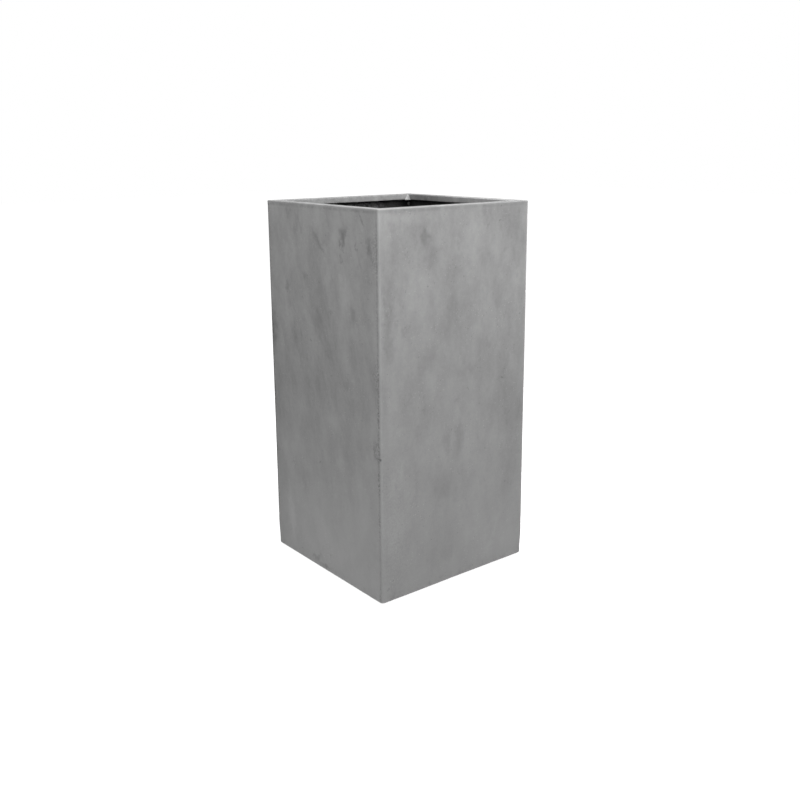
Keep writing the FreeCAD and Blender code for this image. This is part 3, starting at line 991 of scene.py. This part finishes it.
def add_strands(pile, tubes, window):
    """Adds tubes of shape (count, stations, 3, 3), laid out on shelves over a window of the map."""
    shelves = 8
    left, bottom, right, top = window
    rows = math.ceil(len(tubes) / shelves)
    shelf_width = (right - left) / shelves
    row_height = (top - bottom) / rows
    faces, places = grid_faces(STRAND_STATIONS, 3, closed_columns=True)
    spread = places[..., ::-1] / (STRAND_STATIONS - 1, 3) * (0.94 * shelf_width, 0.8 * row_height)
    last = 3 * (STRAND_STATIONS - 1)
    ends = [np.array([2, 1, 0]), np.array([last, last + 1, last + 2])]
    for number, tube in enumerate(tubes):
        shelf, row = divmod(number, rows)
        start = (left + shelf * shelf_width, bottom + row * row_height)
        corner = np.zeros((3, 2)) + start
        pile.add(tube, [*faces, *ends], [*(spread + start), corner, corner])


def make_wall_mat(side, material, draw):
    """The black laminate behind one wall: an uneven sheet with chopped strands showing on it."""
    name = SIDES[side]
    low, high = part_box(f"glass_mat_{name}")
    half = max(high.x - low.x, high.y - low.y) / 2
    along = np.linspace(-half, half, 66)[None, :]
    level = np.linspace(low.z, high.z, 130)[:, None]
    pile = Pile()
    pile.add_slab(on_wall_mat(side, along, level), place_on_side(side, size.cavity, along, level),
                  (0, 0, 0.48, 1))
    reach = size.mat_face - 1.5 * MM
    area = (-reach, size.base_tape_top - 14 * MM, reach, high.z - 2 * MM)
    add_strands(pile, strands(draw, 2400, area, partial(on_wall_mat, side)), (0.5, 0, 1, 1))
    new_piece(f"laminate_{name}", pile, material, "planter", f"glass_mat_{name}", 50)


def on_base_mat(x, y, height):
    """Points at a height above the uneven face of the floor's laminate."""
    points = np.stack([x, y, np.full(x.shape, size.floor)], axis=-1)
    points[..., 2] += mat_relief(points) + height
    return points


def make_base_mat(material, draw):
    """The thicker laminate on the floor, with the drain hole through it."""
    loop = SquareLoop(size.cavity, 4 * MM, 1.2, 12 * MM, 3)
    half = size.cavity - 0.2 * MM
    corner_radius = 0.5 * MM
    rows = [
        loop.circle(DRAIN_RADIUS, size.facing_floor),
        loop.square(half, corner_radius, size.facing_floor),
    ]
    rim = loop.square(half, corner_radius, size.floor)
    hole = loop.circle(DRAIN_RADIUS, size.floor)
    for share in np.linspace(1, 0, 30):
        flat = rim * share + hole * (1 - share)
        away_from_plug = fade(np.hypot(flat[:, 0], flat[:, 1]), 22 * MM, 34 * MM)
        flat[:, 2] += np.minimum(mat_relief(flat), 0.3 * MM) * away_from_plug
        rows.append(flat)
    pile = Pile()
    pile.add_loop(np.array(rows), (0, 0, 0.6, 1), np.ones(len(rows)))
    reach = size.mat_face - 2 * MM
    tubes = strands(draw, 1300, (-reach, -reach, reach, reach), on_base_mat, keep_out=23 * MM)
    add_strands(pile, tubes, (0.62, 0, 1, 1))
    new_piece("laminate_base", pile, material, "planter", "glass_mat_base", 50)


# ---- tapes

def torn(points, coarse, fine):
    """How far a tape's torn edge strays, from the depths of its coarse and fine fraying."""
    return coarse * tape_edge(points) + fine * tape_fray(points)


def over_tape(distance, edge):
    """Height of a tape's face for strands: nothing before its edge, full a little beyond it."""
    return TAPE_THICKNESS * fade(distance, edge - 2 * MM, edge + 9 * MM)


def corner_legs(corner):
    """The two sides that meet at a corner, and the way along each that leads there."""
    return ((corner + 3) % 4, 1), (corner, -1)


def tape_rows(corner, level, thickness):
    """One level of a corner tape's face and of its back: a leg, the cove and the other leg."""
    faces = []
    backs = []
    for side, way in corner_legs(corner):
        edge = place_on_side(side, size.mat_face, way * (size.mat_face - size.tape_leg), level)
        reach = size.tape_leg + torn(edge, 3.2 * MM, 1.2 * MM)
        distance = TAPE_COVE_RADIUS + (reach - TAPE_COVE_RADIUS) * np.linspace(1, 0, 13)
        along = way * (size.mat_face - distance)
        feathered = thickness * np.clip(0.12 + (reach - distance) / (9 * MM), 0.12, 1)
        faces.append(on_wall_mat(side, along, level, feathered)[::way])
        backs.append(on_wall_mat(side, along, level, -0.5 * MM)[::way])
    rows = []
    for first, second in (faces, backs):
        rows.append(np.concatenate([first, cove_between(first[-1], second[0], corner), second]))
    return rows


def cove_between(start, end, corner):
    """The hollow curve in the corner from one point to the other, without its ends."""
    radius = np.abs(start[:2] - end[:2]).mean()
    corner_point = np.maximum(np.abs(start[:2]), np.abs(end[:2]))
    centre = (corner_point - radius) * CORNER_SIGNS[corner]
    first_way = (start[:2] - centre) / radius
    second_way = (end[:2] - centre) / radius
    turn = np.radians(np.linspace(0, 90, 7))[1:-1, None]
    flat = centre + radius * (np.cos(turn) * first_way + np.sin(turn) * second_way)
    return np.column_stack([flat, np.full(len(flat), start[2])])


def tape_strands(draw, side, way):
    """Strands on one leg of a corner tape, some of them sticking out past its edge."""
    inner_edge = size.mat_face - size.tape_leg

    def lay(along, up, height):
        return on_wall_mat(side, way * along, up, over_tape(along, inner_edge) + height)

    area = (inner_edge - 9 * MM, size.tape_low + 3 * MM,
            size.mat_face - TAPE_COVE_RADIUS - 2 * MM, size.tape_high - 2 * MM)
    return strands(draw, 420, area, lay)


def make_corner_tape(corner, material, draw):
    """A strip of mat over the joint of two wall laminates, with torn, feathered edges."""
    name = CORNERS[corner]
    lower_end = size.tape_low - 7 * MM
    faces = []
    backs = []
    for level in np.linspace(lower_end, size.tape_high - 1 * MM, 152):
        thinned = 0.1 + 0.9 * fade(level, lower_end, size.tape_low + 5 * MM)
        face, back = tape_rows(corner, level, TAPE_THICKNESS * thinned)
        faces.append(face)
        backs.append(back)
    pile = Pile()
    pile.add_slab(np.array(faces), np.array(backs), (0, 0, 0.6, 1))
    for left, (side, way) in zip((0.62, 0.81), corner_legs(corner)):
        add_strands(pile, tape_strands(draw, side, way), (left, 0, left + 0.18, 1))
    new_piece(f"tape_{name}", pile, material, "planter", f"corner_tape_{name}", 50)


def base_tape_face(loop):
    """Rows from the torn upper edge down the wall, round the cove and in over the floor."""
    rows = []
    radius = TAPE_COVE_RADIUS
    inside = size.mat_face - TAPE_THICKNESS
    above = size.floor + TAPE_THICKNESS
    feather = 1.2 * MM
    for rise in np.linspace(1, 0, 7):
        level = above + radius + (size.base_tape_top - above - radius) * rise
        row = loop.square(inside + feather * fade(rise, 0.8, 1.0), radius, level)
        row[:, 2] -= (2.2 * MM + torn(row, 1.6 * MM, 0.6 * MM)) * rise ** 3
        rows.append(row)
    for half, level in round_corner((inside - radius, above + radius), radius, 0, -90, 5)[1:]:
        rows.append(loop.square(half, radius, level))
    for share in np.linspace(0, 1, 8)[1:]:
        half = inside - radius - (BASE_TAPE_REACH - TAPE_THICKNESS - radius) * share
        row = loop.square(half, radius, above - feather * fade(share, 0.8, 1.0))
        row[:, :2] += loop.normal * (torn(row, 2.6 * MM, 1.1 * MM) * share ** 3)[:, None]
        rows.append(row)
    return rows


def floor_tape_strands(draw, side):
    """Strands on the floor leg of the base tape along one side."""
    inner_edge = size.mat_face - BASE_TAPE_REACH

    def lay(along, out, height):
        return place_on_side(side, out, along, size.floor + over_tape(out, inner_edge) + height)

    reach = inner_edge + 10 * MM
    area = (-reach, inner_edge - 8 * MM, reach, size.mat_face - 10 * MM)
    return strands(draw, 260, area, lay)


def make_base_tape(material, draw):
    """A strip of mat round the joint of floor and walls, its back sunk a little into both."""
    loop = SquareLoop(size.mat_face, 4 * MM, 1.25, 10 * MM, 4)
    rows = base_tape_face(loop)
    sunk = 0.4 * MM
    under_inner_edge = rows[-1].copy()
    under_inner_edge[:, 2] = size.floor - sunk
    behind_upper_edge = rows[0].copy()
    behind_upper_edge[:, :2] += loop.normal * 1 * MM
    in_the_corner = loop.square(size.mat_face + sunk, 1 * MM, size.floor - sunk)
    rows += [under_inner_edge, in_the_corner, behind_upper_edge]
    pile = Pile()
    pile.add_loop(np.array(rows), (0, 0, 0.6, 1), np.ones(len(rows)))
    for side in range(4):
        left = 0.62 + 0.09 * side
        add_strands(pile, floor_tape_strands(draw, side), (left, 0, left + 0.08, 1))
    new_piece("tape_base", pile, material, "planter", "base_tape", 50)


# ---- drain plug

PLUG_AXIS_HOLE = 0.4 * MM
STEM_LEAD = 1.5 * MM
FLANGE_THICKNESS = 3 * MM
FLANGE_ROUNDING = 1 * MM
FLANGE_DISH = 0.6 * MM
NECK_RADIUS = 5.5 * MM
NECK_FILLET = 3 * MM
HEAD_RADIUS = 11 * MM
HEAD_THICKNESS = 7 * MM
HEAD_ROUNDING = 2.5 * MM
HEAD_DISH = 0.8 * MM
RIB_COUNT = 20
RIB_DEPTH = 0.35 * MM


def plug_outline(low, high):
    """The plug's turned outline as radius and level, from the foot up to the dished head."""
    flange = (high.x - low.x) / 2
    stem = DRAIN_RADIUS - PLUG_CLEARANCE
    flange_top = size.floor + FLANGE_THICKNESS
    dish = flange_top - FLANGE_DISH
    neck_foot = NECK_RADIUS + NECK_FILLET
    head_low = high.z - HEAD_THICKNESS
    flange_turn = flange - FLANGE_ROUNDING
    head_turn = HEAD_RADIUS - HEAD_ROUNDING
    return np.array([
        (PLUG_AXIS_HOLE, low.z),
        (stem - STEM_LEAD, low.z),
        (stem, low.z + STEM_LEAD),
        (stem, size.floor),
        *round_corner((flange_turn, size.floor + FLANGE_ROUNDING), FLANGE_ROUNDING, -90, 0, 4),
        *round_corner((flange_turn, flange_top - FLANGE_ROUNDING), FLANGE_ROUNDING, 0, 90, 4),
        (flange - 4 * MM, flange_top),
        (flange - 4 * MM - FLANGE_DISH, dish),
        (neck_foot, dish),
        *round_corner((neck_foot, dish + NECK_FILLET), NECK_FILLET, 270, 180, 5)[1:],
        (NECK_RADIUS, head_low - 1 * MM),
        (NECK_RADIUS + 1 * MM, head_low),
        *round_corner((head_turn, head_low + HEAD_ROUNDING), HEAD_ROUNDING, -90, 0, 5),
        *round_corner((head_turn, high.z - HEAD_ROUNDING), HEAD_ROUNDING, 0, 90, 5),
        (6 * MM, high.z),
        (5 * MM, high.z - HEAD_DISH),
        (PLUG_AXIS_HOLE, high.z - HEAD_DISH),
    ])


def make_plug(material):
    """A turned rubber bung: stem with a lead, flange with a raised bead, and a ribbed grip."""
    low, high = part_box("drain_plug")
    radius, level = plug_outline(low, high).T[..., None]
    turn = np.radians(np.arange(0, 360, 3))[None, :]
    on_head = fade(radius, NECK_RADIUS + 2.5 * MM, HEAD_RADIUS) * (level > high.z - HEAD_THICKNESS)
    ribbed = radius - RIB_DEPTH * on_head * (1 - np.cos(turn * RIB_COUNT)) / 2
    points = np.stack([ribbed * np.cos(turn), ribbed * np.sin(turn), level + 0 * turn], axis=-1)
    pile = Pile()
    pile.add_bar(points, (0, 0, 0.98, 1))
    new_piece("rubber_plug", pile, material, "plug", "drain_plug", 35)


# ---- stage, lights and camera

FLOOR_HALF = 14.0
FLOOR_GAP = 0.2 * MM
FLOOR_GLOW = 0.88
FLOOR_TONE_SEEN = 0.62
FLOOR_TONE = 0.40
WORLD_STRENGTH = 0.28


def seen_directly(nodes):
    """1 for rays that show a surface: from the camera, in a gloss or through a glass."""
    rays = nodes.add("ShaderNodeLightPath").outputs
    seen = Value(nodes, rays["Is Camera Ray"]).larger(rays["Is Glossy Ray"])
    return seen.larger(rays["Is Transmission Ray"])


def make_floor():
    """A plain white floor that keeps the planter's soft shadow."""
    mesh = bpy.data.meshes.new("floor")
    corners = [(x * FLOOR_HALF, y * FLOOR_HALF, -FLOOR_GAP) for x, y in CORNER_SIGNS]
    mesh.from_pydata(corners, [], [(0, 1, 2, 3)])
    nodes = Nodes(bpy.data.materials.new("floor"))
    tree_nodes = nodes.tree.nodes
    tree_nodes.remove(tree_nodes["Principled BSDF"])
    lit = nodes.add("ShaderNodeBsdfDiffuse", {"Color": (FLOOR_TONE, FLOOR_TONE, FLOOR_TONE, 1)})
    seen_tone = (FLOOR_TONE_SEEN, FLOOR_TONE_SEEN, FLOOR_TONE_SEEN, 1)
    seen = nodes.add("ShaderNodeBsdfDiffuse", {"Color": seen_tone})
    glow = nodes.add("ShaderNodeEmission", {"Strength": FLOOR_GLOW})
    white = nodes.add("ShaderNodeAddShader", {0: seen.outputs[0], 1: glow.outputs[0]})
    choice = {0: seen_directly(nodes), 1: lit.outputs[0], 2: white.outputs[0]}
    mix = nodes.add("ShaderNodeMixShader", choice)
    nodes.give(tree_nodes["Material Output"], "Surface", mix.outputs[0])
    mesh.materials.append(nodes.owner)
    new_object("floor", mesh)


def make_world():
    """White where it is seen, and a plain soft grey as light."""
    world = bpy.data.worlds.new("studio")
    bpy.context.scene.world = world
    nodes = Nodes(world)
    background = nodes.tree.nodes["Background"]
    strength = nodes.add("ShaderNodeMapRange", {
        "Value": seen_directly(nodes),
        "To Min": WORLD_STRENGTH,
        "To Max": 1.0,
    })
    nodes.give(background, "Color", (1, 1, 1, 1))
    nodes.give(background, "Strength", strength.outputs[0])


def add_softbox(name, place, target, width, height, power):
    """A rectangular lamp that faces a target."""
    lamp = bpy.data.lights.new(name, "AREA")
    lamp.shape = "RECTANGLE"
    lamp.size = width
    lamp.size_y = height
    lamp.energy = power
    holder = new_object(name, lamp)
    holder.visible_camera = False
    holder.location = place
    holder.rotation_euler = (Vector(target) - Vector(place)).to_track_quat("-Z", "Y").to_euler()


def make_lights():
    """Softboxes overhead, at the front right and high on the left, and a weak low one there."""
    add_softbox("overhead", (0.45, -0.75, 2.35), (0, 0, 0.8), 1.5, 1.5, 27)
    add_softbox("front_right", (0.7, -1.5, 1.7), (0, 0, 0.7), 1.0, 1.0, 20.5)
    add_softbox("high_left", (-1.6, -0.6, 2.2), (0, 0, 0.7), 1.2, 1.2, 18)
    add_softbox("low_left", (-2.4, -0.3, 0.25), (-0.2, 0, 0.1), 1.2, 0.5, 8.5)


# Camera, fitted to the corners of the planter in an 800 pixel square picture.
CAMERA_PLACE = (-1.2531, -1.5958, 0.9203)
CAMERA_YAW = 0.6692
CAMERA_PITCH = 0.2179
CAMERA_ROLL = -0.0068
PICTURE_WIDTH = 800
FOCAL_LENGTH_PIXELS = 936.42
LENS_AXIS_ROW = 350
SENSOR_WIDTH = 36.0


def make_camera():
    """The camera, level with the floor but for its roll, then pitched down and turned."""
    lens = bpy.data.cameras.new("camera")
    lens.sensor_width = SENSOR_WIDTH
    lens.lens = FOCAL_LENGTH_PIXELS / PICTURE_WIDTH * SENSOR_WIDTH
    lens.shift_y = (LENS_AXIS_ROW - PICTURE_WIDTH / 2) / PICTURE_WIDTH
    camera = new_object("camera", lens)
    yaw = Matrix.Rotation(-CAMERA_YAW, 4, "Z")
    pitch = Matrix.Rotation(math.pi / 2 - CAMERA_PITCH, 4, "X")
    roll = Matrix.Rotation(CAMERA_ROLL, 4, "Z")
    camera.matrix_world = Matrix.Translation(CAMERA_PLACE) @ yaw @ pitch @ roll
    bpy.context.scene.camera = camera


# ---- the whole scene

def make_planter():
    stone = make_stone()
    putty = make_putty()
    rubber = make_rubber()
    laminate_across_x = make_laminate("laminate_across_x", 0)
    laminate_across_y = make_laminate("laminate_across_y", 1)
    laminate_across_z = make_laminate("laminate_across_z", 2)
    draw = np.random.default_rng(2024)

    make_shell(stone)
    for side in range(4):
        make_lip(side, stone)
        make_wall_mat(side, laminate_across_x if side % 2 else laminate_across_y, draw)
    make_fillers(putty)
    make_base_mat(laminate_across_z, draw)
    for corner in range(4):
        make_corner_tape(corner, laminate_across_y, draw)
    make_base_tape(laminate_across_z, draw)
    make_plug(rubber)
    for corner in CORNERS:
        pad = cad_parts[f"foot_pad_{corner}"]
        pad.data.materials.clear()
        pad.data.materials.append(rubber)


bpy.context.scene.view_settings.view_transform = "Standard"
make_camera()
make_world()
make_floor()
make_lights()
make_planter()
